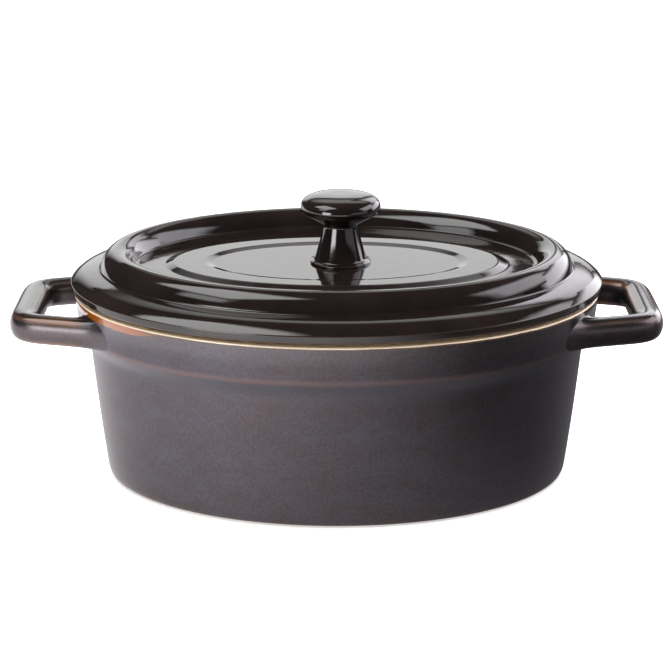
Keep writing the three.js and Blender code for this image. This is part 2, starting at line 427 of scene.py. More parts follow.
class Graph:
    """A material's node graph, with one method for any node and a few for common ones."""

    def __init__(self, name: str) -> None:
        """Starts a material that holds one Principled shader."""
        self.material = bpy.data.materials.new(name)
        self.material.use_nodes = True
        self.tree = self.material.node_tree
        self.shader = next(node for node in self.tree.nodes if node.type == "BSDF_PRINCIPLED")
        coordinates = self.tree.nodes.new("ShaderNodeTexCoord")
        self.place = coordinates.outputs["Object"]

    def feed(self, socket: Socket, value: object) -> None:
        """Links a value to a socket, or sets the socket to it if it is plain.

        Args:
            socket: the input to feed.
            value: a value, an output socket, a colour or a number.
        """
        if isinstance(value, Value):
            self.tree.links.new(value.socket, socket)
        elif isinstance(value, Socket):
            self.tree.links.new(value, socket)
        elif isinstance(value, tuple) and socket.type == "RGBA":
            socket.default_value = (*value, 1.0)
        else:
            socket.default_value = value

    def node(
        self, kind: str, settings: dict[str, object], inputs: dict[Union[str, int], object]
    ) -> bpy.types.Node:
        """Adds one node.

        Args:
            kind: the node's type.
            settings: its own properties, set before the sockets.
            inputs: socket name or number, to a value, a socket or a plain number.

        Returns:
            The new node.
        """
        node = self.tree.nodes.new(kind)
        for name, setting in settings.items():
            setattr(node, name, setting)
        for name, value in inputs.items():
            self.feed(node.inputs[name], value)
        return node

    def maths(self, operation: str, first: Number, second: Number) -> Value:
        """One step of arithmetic.

        Args:
            operation: the step's name.
            first: a value or a number.
            second: a value, or a number if the first is a value.

        Returns:
            The result.
        """
        node = self.node("ShaderNodeMath", {"operation": operation}, {0: first, 1: second})
        return Value(self, node.outputs[0])

    def larger(self, first: Number, second: Number) -> Value:
        """The larger of two values."""
        return self.maths("MAXIMUM", first, second)

    def mix(self, amount: Number, first: object, second: object) -> Socket:
        """A colour between two colours.

        Args:
            amount: 0 for the first, 1 for the second.
            first: a colour or an output socket.
            second: the same.

        Returns:
            The mixed colour.
        """
        node = self.node("ShaderNodeMix", {"data_type": "RGBA"}, {"Factor": amount})
        colours = [socket for socket in node.inputs if socket.type == "RGBA"]
        self.feed(colours[0], first)
        self.feed(colours[1], second)
        return next(socket for socket in node.outputs if socket.type == "RGBA")

    def attribute(self, name: str) -> Value:
        """A number kept on the piece's vertices."""
        node = self.node("ShaderNodeAttribute", {"attribute_name": name}, {})
        return Value(self, node.outputs["Fac"])

    def axis(self, name: str) -> Value:
        """One of the surface point's X, Y or Z."""
        node = self.node("ShaderNodeSeparateXYZ", {}, {"Vector": self.place})
        return Value(self, node.outputs[name])

    def stretched(self, scale: tuple[float, float, float]) -> Socket:
        """The surface point with each axis multiplied, to lengthen a pattern along one of them."""
        node = self.node("ShaderNodeMapping", {}, {"Vector": self.place, "Scale": scale})
        return node.outputs["Vector"]

    def noise(
        self, size: float, detail: float = 2.0, warp: float = 0.0, where: Optional[Socket] = None
    ) -> Value:
        """Soft cloudy noise from 0 to 1.

        Args:
            size: about the size of its features.
            detail: how many finer layers it has.
            warp: how far its features are drawn out.
            where: the point to read it at, if not the plain surface point.

        Returns:
            The noise.
        """
        inputs = {"Vector": where or self.place, "Scale": 1 / size, "Detail": detail, "Distortion": warp}
        node = self.node("ShaderNodeTexNoise", {}, inputs)
        return Value(self, node.outputs[0])

    def specks(self, size: float, where: Optional[Socket] = None) -> Value:
        """Distance from the middle of scattered cells.

        Args:
            size: about the size of a cell.
            where: the point to read it at, if not the plain surface point.

        Returns:
            The distance, in cell sizes.
        """
        inputs = {"Vector": where or self.place, "Scale": 1 / size}
        node = self.node("ShaderNodeTexVoronoi", {}, inputs)
        return Value(self, node.outputs["Distance"])

    def bump(self, height: Value, depth: float, under: Optional[Socket] = None) -> Socket:
        """A bumped normal.

        Args:
            height: the relief, from 0 to 1.
            depth: how deep 1 stands over 0.
            under: a bumped normal to add to.

        Returns:
            The normal.
        """
        inputs = {"Height": height, "Distance": depth, "Strength": 1.0}
        if under:
            inputs["Normal"] = under
        return self.node("ShaderNodeBump", {}, inputs).outputs["Normal"]

    def finish(self, uniform: dict[str, object], varied: dict[str, object]) -> bpy.types.Material:
        """Fills in the shader.

        Args:
            uniform: what is the same all over, set on the shader's own sockets.
            varied: what the graph works out.

        Returns:
            The finished material.
        """
        for name, value in {**uniform, **varied}.items():
            self.feed(self.shader.inputs[name], value)
        return self.material


# ---- Glazes ---------------------------------------------------------------------------------
@dataclass(frozen=True)
class GlossGlaze:
    """Thick, nearly black iron glaze that breaks to amber where it runs thin over an edge.

    Attributes:
        name: the material's name.
        body: colour where the glaze lies thick.
        amber: colour where it breaks over an edge.
        break_from: how sharp an edge has to be before the glaze starts to break.
        break_full: how sharp it is where the break is complete.
        clay: colour of the bare clay.
        bare_below: height under which the clay is left bare, for a lid's seat.
        cloud_size: size of the soft patches in which the glaze lies thicker or thinner.
        ripple: size and depth of the slow waves on its surface.
        peel: size and depth of the fine ones.
        pits: spacing and depth of the pin pricks.
    """

    name: str
    body: Colour = (0.0066, 0.0044, 0.0038)
    amber: Colour = (0.030, 0.014, 0.007)
    clay: Colour = (0.60, 0.47, 0.33)
    break_from: float = 1.0
    break_full: float = 2.6
    bare_below: float = -1.0
    cloud_size: float = 22 * MM
    ripple: tuple[float, float] = (9 * MM, 0.045 * MM)
    peel: tuple[float, float] = (2.2 * MM, 0.007 * MM)
    pits: tuple[float, float] = (2.4 * MM, 0.012 * MM)

    def material(self) -> bpy.types.Material:
        """Builds the glaze."""
        graph = Graph(self.name)
        clouds = graph.noise(self.cloud_size, detail=3, warp=0.4)
        fine = graph.noise(1.6 * MM, detail=3)
        edge = graph.attribute(EDGE_ATTRIBUTE)
        thin = (edge + (clouds - 0.5) * 0.9).ramp(self.break_from, self.break_full)
        iron = graph.mix(clouds.ramp(0.35, 0.75), self.body, tuple(part * 1.7 for part in self.body))
        colour = graph.mix(thin, iron, self.amber)
        height = graph.axis("Z") + (clouds - 0.5) * 0.5 * MM
        bare = height.ramp(self.bare_below + 0.3 * MM, self.bare_below)
        colour = graph.mix(bare, colour, self.clay)
        roughness = 0.045 + clouds * 0.03 + fine * 0.02 + thin * 0.08 + bare * 0.6
        (ripple_size, ripple_depth), (peel_size, peel_depth) = self.ripple, self.peel
        pit_spacing, pit_depth = self.pits
        ripple = graph.bump(graph.noise(ripple_size, detail=1), ripple_depth)
        peel = graph.bump(graph.noise(peel_size, detail=1), peel_depth, ripple)
        pits = graph.specks(pit_spacing).ramp(0.12, 0.0)
        normal = graph.bump(1 - pits * 0.6, pit_depth, peel)
        uniform = {"IOR": 1.62, "Specular IOR Level": 0.5}
        return graph.finish(uniform, {"Base Color": colour, "Roughness": roughness, "Normal": normal})


@dataclass(frozen=True)
class SatinGlaze:
    """Semi-metallic satin glaze that breaks to amber over edges, with gloss where it pools.

    Attributes:
        name: the material's name.
        land: height of the rim's land, for the dish, which is gloss inside and bare on rim and foot.
        band: depth of the bare band down from the land.
        melt_depth: depth of the molten line under that band.
        melt_end: how much deeper the line runs at the dish's left end, where the glaze ran thin.
        end_from: where that end begins, as a share of the dish's half length.
        end_full: where the line is deepest, likewise.
        breaks: how far the glaze turns to amber over a fully sharp edge.
        break_from: how sharp an edge has to be before the glaze starts to break.
        break_full: how sharp it is where the break is complete.
        coat: how much clear gloss lies over the satin.
        rim_coat: the same near the dish's rim.
        collar_depth: how far the collar's lower edge lies under the land.
        luted_to: distance from the dish's middle to where the clay of a handle is smoothed into it.
        brown: the satin's warmer tone.
        blue: its cooler tone.
        dark: tone of the fine crystals in it.
        amber: colour where it breaks over an edge.
        clay: colour of the bare clay.
        pooled: colour where the glaze lies thick and glossy.
        painted_light_band: colour of painted light, a light bluish band on the wall under the collar's
            edge.
        painted_edge_highlight: colour of the painted highlight, a light pinkish line along the collar's
            lower edge.
        line: colour of the molten line under the bare band.
        run_amber: colour of that line where the glaze ran thin.
        clouds: size of the broad drifts of tone.
        drifts: size of the narrower ones.
        crystals: size of the fine crystals.
        pebble: depth of the relief that they make.
        waves: size and depth of the slow waves on the surface.
        gloss: roughness where the glaze pools.
        sheen: how metallic the satin is.
    """

    name: str
    land: Optional[float] = None
    band: float = 0.9 * MM
    melt_depth: float = 1.2 * MM
    melt_end: float = 3.0 * MM
    end_from: float = -0.60
    end_full: float = -0.76
    coat: float = 0.0
    rim_coat: float = 0.8
    breaks: float = 0.45
    break_from: float = 0.9
    break_full: float = 2.4
    collar_depth: float = 19.2 * MM
    luted_to: float = 0.0
    brown: Colour = (0.097, 0.079, 0.080)
    blue: Colour = (0.088, 0.085, 0.104)
    dark: Colour = (0.058, 0.049, 0.052)
    amber: Colour = (0.13, 0.042, 0.008)
    clay: Colour = (0.74, 0.60, 0.42)
    pooled: Colour = (0.010, 0.0075, 0.0065)
    # Painted light: a light bluish band on the wall under the collar's edge.
    painted_light_band: Colour = (0.105, 0.112, 0.130)
    # Painted highlight: a light pinkish line along the collar's lower edge.
    painted_edge_highlight: Colour = (0.190, 0.135, 0.130)
    line: Colour = (0.045, 0.018, 0.008)
    run_amber: Colour = (0.22, 0.056, 0.003)
    clouds: float = 34 * MM
    drifts: float = 10 * MM
    crystals: float = 1.3 * MM
    pebble: float = 0.035 * MM
    waves: tuple[float, float] = (12 * MM, 0.06 * MM)
    gloss: float = 0.09
    sheen: float = 0.94

    def material(self) -> bpy.types.Material:
        """Builds the glaze."""
        graph = Graph(self.name)
        clouds = graph.noise(self.clouds, detail=4, warp=0.6, where=graph.stretched((0.6, 0.6, 1)))
        drifts = graph.noise(self.drifts, detail=3, warp=0.5, where=graph.stretched((0.5, 0.5, 1.2)))
        crystals = graph.noise(self.crystals, detail=4)
        pooled = graph.larger(graph.attribute(INSIDE_ATTRIBUTE), graph.attribute(TOP_ATTRIBUTE))
        mottle = clouds * 0.5 + drifts * 0.5
        colour = graph.mix(mottle.ramp(0.24, 0.76), self.brown, self.blue)
        colour = graph.mix((crystals + (drifts - 0.5) * 0.4).ramp(0.68, 0.32) * 0.5, colour, self.dark)
        if self.land is not None:
            # Painted light round the collar's lower edge: a highlight line and a light band under it.
            colour = self.paint_collar_light(graph, colour)
        colour = graph.mix(pooled, colour, self.pooled)
        edge = graph.attribute(EDGE_ATTRIBUTE) + (clouds - 0.5) * 0.8
        thin = edge.ramp(self.break_from, self.break_full)
        from_middle = graph.axis("X") * graph.axis("X")
        thin = thin * from_middle.ramp(self.luted_to**2, (self.luted_to + 8 * MM) ** 2)
        colour = graph.mix(thin * self.breaks, colour, self.amber)

        satin = 0.22 + clouds * 0.08 + crystals * 0.10
        roughness = satin + pooled * (self.gloss - satin)
        metal = self.sheen - pooled * self.sheen
        metal = metal * (1 - thin * self.breaks)
        uniform = {"IOR": 1.6, "Coat Weight": self.coat, "Coat Roughness": 0.10, "Coat IOR": 1.5}
        if self.land is not None:
            colour, roughness, metal = self.bare_clay(graph, colour, roughness, metal)
        wave_size, wave_depth = self.waves
        pebble = graph.bump(crystals, self.pebble)
        normal = graph.bump(graph.noise(wave_size, detail=1), wave_depth, pebble)
        varied = {"Base Color": colour, "Roughness": roughness, "Metallic": metal, "Normal": normal}
        if self.land is not None:
            rim = graph.axis("Z").ramp(self.land - 14 * MM, self.land - 3 * MM)
            varied["Coat Weight"] = rim * self.rim_coat
        return graph.finish(uniform, varied)

    def paint_collar_light(self, graph: Graph, colour: Socket) -> Socket:
        """Paints light round the collar's lower edge: a painted highlight along the edge and a painted
        light band under it.

        Args:
            graph: the glaze's graph.
            colour: the glaze's colour.

        Returns:
            The colour with both bands in it.
        """
        height = graph.axis("Z") + (graph.noise(18 * MM, detail=2) - 0.5) * 1.2 * MM
        edge = self.land - self.collar_depth
        # Painted light: a light bluish band on the wall under the collar's edge, where the concave turn
        # would show a dark line.
        below = height.ramp(edge - 14 * MM, edge - 3 * MM) * height.ramp(edge - 0.5 * MM, edge - 2.5 * MM)
        colour = graph.mix(below * 0.5, colour, self.painted_light_band)
        # Painted highlight: a light pinkish line along the collar's lower edge.
        over = height.ramp(edge - 2.2 * MM, edge) * height.ramp(edge + 2.8 * MM, edge + 0.4 * MM)
        return graph.mix(over * 0.5, colour, self.painted_edge_highlight)

    def bare_clay(
        self, graph: Graph, colour: Socket, roughness: Value, metal: Value
    ) -> tuple[Socket, Value, Value]:
        """Wipes the rim and the foot of the dish down to the clay, with a molten line under the rim's.

        Args:
            graph: the glaze's graph.
            colour: the glaze's colour.
            roughness: its roughness.
            metal: how metallic it is.

        Returns:
            The three with the clay and the line added.
        """
        height = graph.axis("Z")
        wander = (graph.noise(16 * MM, detail=2) - 0.5) * 0.7 * MM
        line = self.land - self.band
        end = graph.axis("X").ramp(self.end_from * EDGE_HALF_LENGTH, self.end_full * EDGE_HALF_LENGTH)
        melt = (height + wander * 1.6 + end * self.melt_end).ramp(line - self.melt_depth, line - 0.3 * MM)
        bare = (height + wander).ramp(line - 0.2 * MM, line + 0.2 * MM)
        foot = (height + wander * 0.3).ramp(0.45 * MM, 0.25 * MM)
        colour = graph.mix(melt, colour, graph.mix(end, self.line, self.run_amber))
        colour = graph.mix(graph.larger(bare, foot), colour, self.clay)
        roughness = roughness + melt * (0.12 - roughness)
        roughness = roughness + bare * (0.42 - roughness)
        metal = metal * (1 - graph.larger(melt, foot))
        return colour, roughness, metal


# ---- Pieces ---------------------------------------------------------------------------------
def dress(
    piece: bpy.types.Object, material: bpy.types.Material, body: Body, node: str
) -> None:
    """Gives a piece its material and its place in the frame.

    Args:
        piece: the finished piece.
        material: its glaze.
        body: the moving body that it rides on.
        node: the frame node that it stands for.
    """
    piece.data.materials.clear()
    piece.data.materials.append(material)
    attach(piece, body.value)
    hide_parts(node)
    log.info("%s: %d faces on %s", piece.name, len(piece.data.polygons), body.value)


@dataclass
class Vessel:
    """The dish itself. Sizes are millimetres, insets unless they say height, rise or depth.

    Attributes:
        wall_top: outside of the wall, where it runs into the collar.
        wall_foot: outside of the wall, at the table.
        wall_bulge: how far the wall swells outwards at mid height.
        wall_thickness: thickness of the wall.
        wall_rounding: reach of the rounding between the wall and the table.
        floor_height: top of the dish's floor.
        floor_rounding: reach of the rounding between the floor and the wall.
        foot_inside: inner edge of the ring that the dish stands on.
        foot_recess: how far the underside is hollowed inside that ring.
        pole: half width of the small oval in the middle of the floor and of the underside.
        collar_height: where the wall turns out into the collar.
        collar_edge: the collar's lower edge.
        collar_edge_rise: height of that edge over the turn.
        land_inside: inner edge of the land.
        mouth: wall of the mouth, beside the lid's locating rim.
        mouth_depth: depth of the mouth under the land.
    """

    wall_top: float = 7.4
    wall_foot: float = 15.2
    wall_bulge: float = 0.5
    wall_thickness: float = 6.8
    wall_rounding: float = 7.0
    floor_height: float = 8.0
    floor_rounding: float = 11.0
    foot_inside: float = 28.5
    foot_recess: float = 2.4
    pole: float = 9.0
    collar_height: float = 70.0
    collar_edge: float = 2.5
    collar_edge_rise: float = 6.8
    land_inside: float = 8.0
    mouth: float = 9.2
    mouth_depth: float = 11.0

    def build(self) -> bpy.types.Object:
        """Throws the dish from the middle of its underside, up outside and down inside."""
        land = RIM_HEIGHT / MM
        middle = (self.wall_top + self.wall_foot) / 2 - self.wall_bulge
        pole = EDGE_HALF_WIDTH / MM - self.pole
        return Modelling.throw(
            "dish_vessel",
            [
                inset(pole, self.foot_recess),
                inset(self.foot_inside + 2.2, self.foot_recess, 1.0),
                inset(self.foot_inside, 0, 0.8),
                inset(self.wall_foot, 0, self.wall_rounding),
                inset(middle, self.collar_height / 2),
                inset(self.wall_top, self.collar_height, 4.2),
                inset(self.collar_edge, self.collar_height + self.collar_edge_rise, 3.2),
                inset(0, land, 2.2),
                inset(self.land_inside, land, 1.0),
                inset(self.mouth, land - 2.4, 1.0),
                inset(self.mouth + 0.3, land - self.mouth_depth, 2.5),
                inset(self.wall_top + self.wall_thickness, self.collar_height - 3, 5.0),
                inset(self.wall_foot + self.wall_thickness - 0.5, self.floor_height, self.floor_rounding),
                inset(pole, self.floor_height),
            ],
        )

    def dress(self, piece: bpy.types.Object) -> None:
        """Glazes the dish."""
        survey = Survey(piece)
        survey.mark_edges()
        survey.mark_inside(RIM_HEIGHT)
        material = SatinGlaze("satin_iron_glaze", land=RIM_HEIGHT).material()
        dress(piece, material, Body.DISH, "dish_body")


@dataclass(frozen=True)
class Section:
    """A cross section of a handle: the two ends of its width, seen from above, and its two heights."""

    outer: tuple[float, float]
    inner: tuple[float, float]
    low: float
    high: float

    @property
    def middle(self) -> Vector:
        """The section's centre."""
        x = (self.outer[0] + self.inner[0]) / 2
        y = (self.outer[1] + self.inner[1]) / 2
        return Vector((x, y, (self.low + self.high) / 2))

    @property
    def width(self) -> float:
        """Distance between the outer and the inner end."""
        return math.dist(self.outer, self.inner)

    @property
    def turn(self) -> float:
        """Angle from X to the line from the inner to the outer end."""
        return math.atan2(self.outer[1] - self.inner[1], self.outer[0] - self.inner[0])


@dataclass
class LoopHandle:
    """A loop handle, drawn from the middle of its grip bar round to its root in the collar.

    Sizes are millimetres.

    Attributes:
        bar_width: width of the grip bar, along X.
        arm_width: width of each arm, across the dish.
        half_grip: distance from the middle of the bar to the outside of an arm.
        flare: how far the arms spread for each step towards the dish.
        edge_radius: rounding of the section's corners.
        outer_reach: reach of the rounding at the loop's outer corners.
        inner_reach: reach of the rounding at its inner corners.
        arm_stations: how far behind the tip the arm's last two sections begin, outside.
        inner_stations: how far behind the bar they begin, inside.
        collar_inset: inset of the collar's face.
        root: outer and inner place of the root across the dish, on the collar's face.
        buried_root: the same inside the clay.
        root_depth: how deep the root is buried.
        root_below: how far the root spreads under the arm.
        root_above: how far it spreads over the arm, on the face and inside the clay.
    """

    bar_width: float = 15.0
    arm_width: float = 13.5
    half_grip: float = 35.5
    flare: float = 0.27
    edge_radius: float = 5.4
    outer_reach: float = 23.0
    inner_reach: float = 8.0
    arm_stations: tuple[float, float] = (27.0, 43.0)
    inner_stations: tuple[float, float] = (16.0, 21.2)
    collar_inset: float = 1.4
    root: tuple[float, float] = (52.6, 26.4)
    buried_root: tuple[float, float] = (56.0, 25.0)
    root_depth: float = 3.0
    root_below: float = 0.9
    root_above: tuple[float, float] = (2.0, 2.4)

    def on_collar(self, y: float, depth: float) -> tuple[float, float]:
        """A point of the collar's face, or under it.

        Args:
            y: its place across the dish, in millimetres.
            depth: how far it is sunk in the clay, in millimetres.

        Returns:
            Its X and Y, in metres.
        """
        along = EDGE_HALF_LENGTH * math.sqrt(1 - (y * MM / EDGE_HALF_WIDTH) ** 2)
        return along - (self.collar_inset + depth) * MM, y * MM

    def sections(self) -> list[Section]:
        """The cross sections from the middle of the grip bar to the buried root."""
        low, high = (corner.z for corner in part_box("right_handle"))
        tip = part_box("right_handle")[1].x
        grip = tip - self.bar_width * MM

        def outer_at(x: float) -> tuple[float, float]:
            """The outside of the arm at a place along the dish."""
            return x, self.half_grip * MM + self.flare * (tip - x)

        def inner_at(x: float) -> tuple[float, float]:
            """The inside of the arm at a place along the dish."""
            return x, self.half_grip * MM + self.flare * (tip - x) - self.arm_width * MM

        slope = math.hypot(1, self.flare)
        outer_corner = outer_at(tip)
        inner_corner = inner_at(grip)
        outer_run = self.outer_reach * MM
        inner_run = self.inner_reach * MM
        flat = [
            ((tip, 0.0), (grip, 0.0)),
            ((tip, outer_corner[1] - outer_run), (grip, inner_corner[1] - inner_run)),
            (outer_corner, inner_corner),
            (outer_at(tip - outer_run / slope), inner_at(grip - inner_run / slope)),
        ]
        for outside, inside in zip(self.arm_stations, self.inner_stations):
            flat.append((outer_at(tip - outside * MM), inner_at(grip - inside * MM)))
        loop = [Section(outer, inner, low, high) for outer, inner in flat]
        bottom = low - self.root_below * MM
        tops = [high + above * MM for above in self.root_above]
        face = [self.on_collar(self.root[0], -0.2), self.on_collar(self.root[1], -0.3)]
        clay = [self.on_collar(y, self.root_depth) for y in self.buried_root]
        return [*loop, Section(*face, bottom, tops[0]), Section(*clay, bottom, tops[1])]

    def build(self, side: Side) -> bpy.types.Object:
        """Models half of the loop, mirrors it and turns it to its end of the dish.

        Args:
            side: the end that it stands on.

        Returns:
            The finished handle.
        """
        path = self.sections()
        first = path[0]
        Modelling.clear_selection()
        bpy.ops.mesh.primitive_plane_add(size=1, location=(0, 0, 0))
        piece = bpy.context.object
        piece.name = piece.data.name = f"dish_handle_{side.name.lower()}"
        bpy.ops.object.mode_set(mode="EDIT")
        bpy.ops.mesh.select_all(action="SELECT")
        bpy.ops.transform.rotate(value=math.pi / 2, orient_axis="X", center_override=(0, 0, 0))
        size = (first.width, 1, first.high - first.low)
        bpy.ops.transform.resize(value=size, center_override=(0, 0, 0))
        bpy.ops.mesh.bevel(offset=self.edge_radius * MM, segments=2, affect="VERTICES")
        bpy.ops.mesh.delete(type="ONLY_FACE")
        bpy.ops.mesh.select_all(action="SELECT")
        bpy.ops.transform.translate(value=first.middle)
        for before, after in pairwise(path):
            step = after.middle - before.middle
            bpy.ops.mesh.extrude_region_move(TRANSFORM_OT_translate={"value": step})
            centre = after.middle
            growth = (after.width / before.width, 1, (after.high - after.low) / (before.high - before.low))
            bpy.ops.transform.rotate(value=before.turn, orient_axis="Z", center_override=centre)
            bpy.ops.transform.resize(value=growth, center_override=centre)
            bpy.ops.transform.rotate(value=-after.turn, orient_axis="Z", center_override=centre)
        Modelling.cap()
        bpy.ops.object.mode_set(mode="OBJECT")
        bpy.ops.object.modifier_add(type="MIRROR")
        mirror = piece.modifiers[-1]
        mirror.use_axis = (False, True, False)
        mirror.use_clip = True
        mirror.merge_threshold = 0.01 * MM
        bpy.ops.object.modifier_apply(modifier=mirror.name)
        if side is Side.LEFT:
            piece.data.transform(Matrix.Rotation(math.pi, 4, "Z"))
        bpy.ops.object.mode_set(mode="EDIT")
        bpy.ops.mesh.select_all(action="SELECT")
        bpy.ops.mesh.normals_make_consistent(inside=False)
        bpy.ops.object.mode_set(mode="OBJECT")
        Modelling.subdivide_smooth(piece, 3)
        return piece

    def dress(self, piece: bpy.types.Object, material: bpy.types.Material, side: Side) -> None:
        """Glazes the handle.

        Args:
            piece: the finished handle.
            material: the glaze that both handles share.
            side: the end that it stands on.
        """
        survey = Survey(piece)
        survey.mark_edges()
        survey.mark_tops()
        dress(piece, material, Body.DISH, f"{side.name.lower()}_handle")


@dataclass
class Lid:
    """The moulded lid with its locating rim. Sizes are millimetres, insets unless they say height.

    Attributes:
        flange_roll: middle line of the flange's roll.
        flange_roll_height: height of that line.
        flange_rise: height of the roll over it.
        edge_rise: how far the lid's edge starts over the seat.
        face_top: height at which the edge turns into the roll.
        ring_foot: outer foot of the raised ring.
        ring_foot_height: height of that foot.
        crest: middle line of the raised ring.
        channel_half_width: half width of the hollow under the ring.
        channel_depth: clay between the top of that hollow and the crest.
        ring_roll_height: height of the line about which the ring is rounded.
        ring_half_width: half width of the ring at that height.
        well_edge: inner foot of the ring.
        well_height: height of the middle of the sunken top.
        step: height of each moulded step in the well.
        step_run: half of the width over which a step rises.
        inner_oval: half length and half width of the inner step.
        outer_oval: half length and half width of the outer step.
        thickness: thickness of the clay in the well.
        locating_outer: outside of the locating rim.
        locating_width: its width.
        locating_depth: how far it reaches under the seat.
    """

    flange_roll: float = 11.5
    flange_roll_height: float = 99.8
    flange_rise: float = 7.0
    edge_rise: float = 1.9
    face_top: float = 101.6
    ring_foot: float = 13.1
    ring_foot_height: float = 107.4
    crest: float = 22.3
    channel_half_width: float = 2.8
    channel_depth: float = 9.5
    ring_roll_height: float = 104.5
    ring_half_width: float = 9.3
    well_edge: float = 31.5
    well_height: float = 108.8
    step: float = 0.75
    step_run: float = 2.2
    inner_oval: tuple[float, float] = (64.4, 35.0)
    outer_oval: tuple[float, float] = (84.2, 48.0)
    thickness: float = 7.0
    locating_outer: float = 10.6
    locating_width: float = 4.6
    locating_depth: float = 6.0

    @property
    def seat(self) -> float:
        """Height of the seat that rests on the rim."""
        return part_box("lid_shell")[0].z / MM

    def build(self) -> bpy.types.Object:
        """Throws the lid from the middle of its ceiling, out under the flange and back over the top."""
        crest_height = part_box("lid_shell")[1].z / MM + 0.1
        flange_run = self.flange_roll + OVERHANG / MM
        ring_rise = crest_height - self.ring_roll_height
        ceiling = self.well_height - self.thickness
        channel = crest_height - self.channel_depth
        groove = self.well_height - self.step
        upper = self.well_height + self.step
        flange = roll(
            self.flange_roll, self.flange_roll_height, flange_run, self.flange_rise, (26, 40, 55, 70)
        )
        ring = roll(
            self.crest, self.ring_roll_height, self.ring_half_width, ring_rise, range(16, 165, 18)
        )

        def around(oval: tuple[float, float], distance: float, height: float, reach: float) -> Oval:
            """A ring at a distance outside one of the steps' ovals."""
            return Oval((oval[0] + distance) * MM, (oval[1] + distance) * MM, height * MM, reach * MM)

        return Modelling.throw(
            "lid_moulded_top",
            [
                circle(8, ceiling),
                inset(self.well_edge, ceiling, 3.0),
                inset(self.crest + self.channel_half_width, channel, 2.0),
                inset(self.crest - self.channel_half_width + 0.6, channel, 2.0),
                inset(self.locating_outer + self.locating_width + 1, self.seat, 0.8),
                inset(2.8, self.seat, 0.9),
                inset(-OVERHANG / MM, self.seat + self.edge_rise, 1.2),
                inset(-OVERHANG / MM, self.face_top, 0.6),
                *flange,
                inset(self.ring_foot, self.ring_foot_height, 1.2),
                *ring,
                inset(self.well_edge + 1, groove, 2.2),
                around(self.outer_oval, self.step_run, groove, 1.2),
                around(self.outer_oval, -self.step_run, upper, 1.2),
                around(self.inner_oval, self.step_run, upper, 1.2),
                around(self.inner_oval, -self.step_run, self.well_height, 1.2),
                circle(20, self.well_height),
                circle(5, self.well_height),
            ],
        )

    def build_locating_rim(self) -> bpy.types.Object:
        """Throws the ring under the lid that drops into the dish's mouth."""
        top = self.seat + 0.4
        bottom = self.seat - self.locating_depth
        outer = self.locating_outer
        inner = outer + self.locating_width
        start = inset(inner, top)
        return Modelling.throw(
            "lid_locating_ring",
            [start, inset(inner, bottom, 1.3), inset(outer + 0.2, bottom, 1.5), inset(outer, top), start],
        )

    def dress(self, top: bpy.types.Object, rim: bpy.types.Object) -> None:
        """Glazes the lid, leaving its seat bare.

        Args:
            top: the moulded top.
            rim: the locating rim under it.
        """
        material = GlossGlaze("gloss_lid_glaze", bare_below=(self.seat + 0.3) * MM).material()
        for piece, node in ((top, "lid_shell"), (rim, "lid_locating_rim")):
            Survey(piece).mark_edges()
            dress(piece, material, Body.LID, node)


@dataclass
class Knob:
    """The turned mushroom knob. Sizes are millimetres, radii unless they say height.

    Attributes:
        cap: radius of the cap.
        dome_height: height of its top over its widest line.
        dome_fullness: 2 for a dome like half an ellipse, more for a fuller one.
        neck: radius under the cap.
        stem: radius at the bottom of the stem.
        foot: radius of the ledge that the stem stands on.
        sunk: height of the foot that is sunk in the lid.
        ledge_height: height of the ledge over the well.
        stem_height: height of the stem's bottom over the well.
        waist_height: height of the middle of the stem.
        neck_height: height of the neck.
        sides: vertices round the cage.
    """

    cap: float = 20.1
    dome_height: float = 6.8
    dome_fullness: float = 3.0
    neck: float = 8.5
    stem: float = 13.2
    foot: float = 15.3
    sunk: float = 0.4
    ledge_height: float = 1.1
    stem_height: float = 1.9
    waist_height: float = 10.5
    neck_height: float = 20.0
    sides: int = 32

    def build(self) -> bpy.types.Object:
        """Throws the knob from under its foot up to the top of its cap."""
        low, high = (corner.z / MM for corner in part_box("lid_knob"))
        foot = low - 0.3
        widest = high - self.dome_height
        power = 2 / self.dome_fullness
        dome = []
        for degrees in (12, 26, 40, 54, 68, 80):
            angle = math.radians(degrees)
            radius = self.cap * math.cos(angle) ** power
            dome.append(circle(radius, widest + (self.dome_height + 0.15) * math.sin(angle) ** power))
        return Modelling.throw(
            "lid_mushroom_knob",
            [
                circle(5, foot - self.sunk),
                circle(self.foot, foot - self.sunk, 0.3),
                circle(self.foot, foot + self.ledge_height, 0.5),
                circle(self.stem, foot + self.stem_height, 1.4),
                circle((self.stem + self.neck) / 2 - 0.3, foot + self.waist_height),
                circle(self.neck, foot + self.neck_height, 2.0),
                circle(self.cap * 0.97, widest - 2.4, 1.6),
                circle(self.cap * 1.01, widest),
                *dome,
            ],
            sides=self.sides,
            levels=3,
            centre_x=sum(corner.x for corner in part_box("lid_knob")) / 2,
        )

    def dress(self, piece: bpy.types.Object) -> None:
        """Glazes the knob."""
        Survey(piece).mark_edges()
        dress(piece, GlossGlaze("gloss_knob_glaze").material(), Body.LID, "lid_knob")


# ---- Studio ---------------------------------------------------------------------------------
WHITE = (1.0, 1.0, 1.0)
BLACK = (0.0, 0.0, 0.0)
LAVENDER = (0.96, 0.93, 1.0)
# Power per square metre that gives the face of a lamp a brightness of 1.
FACE_POWER = 4


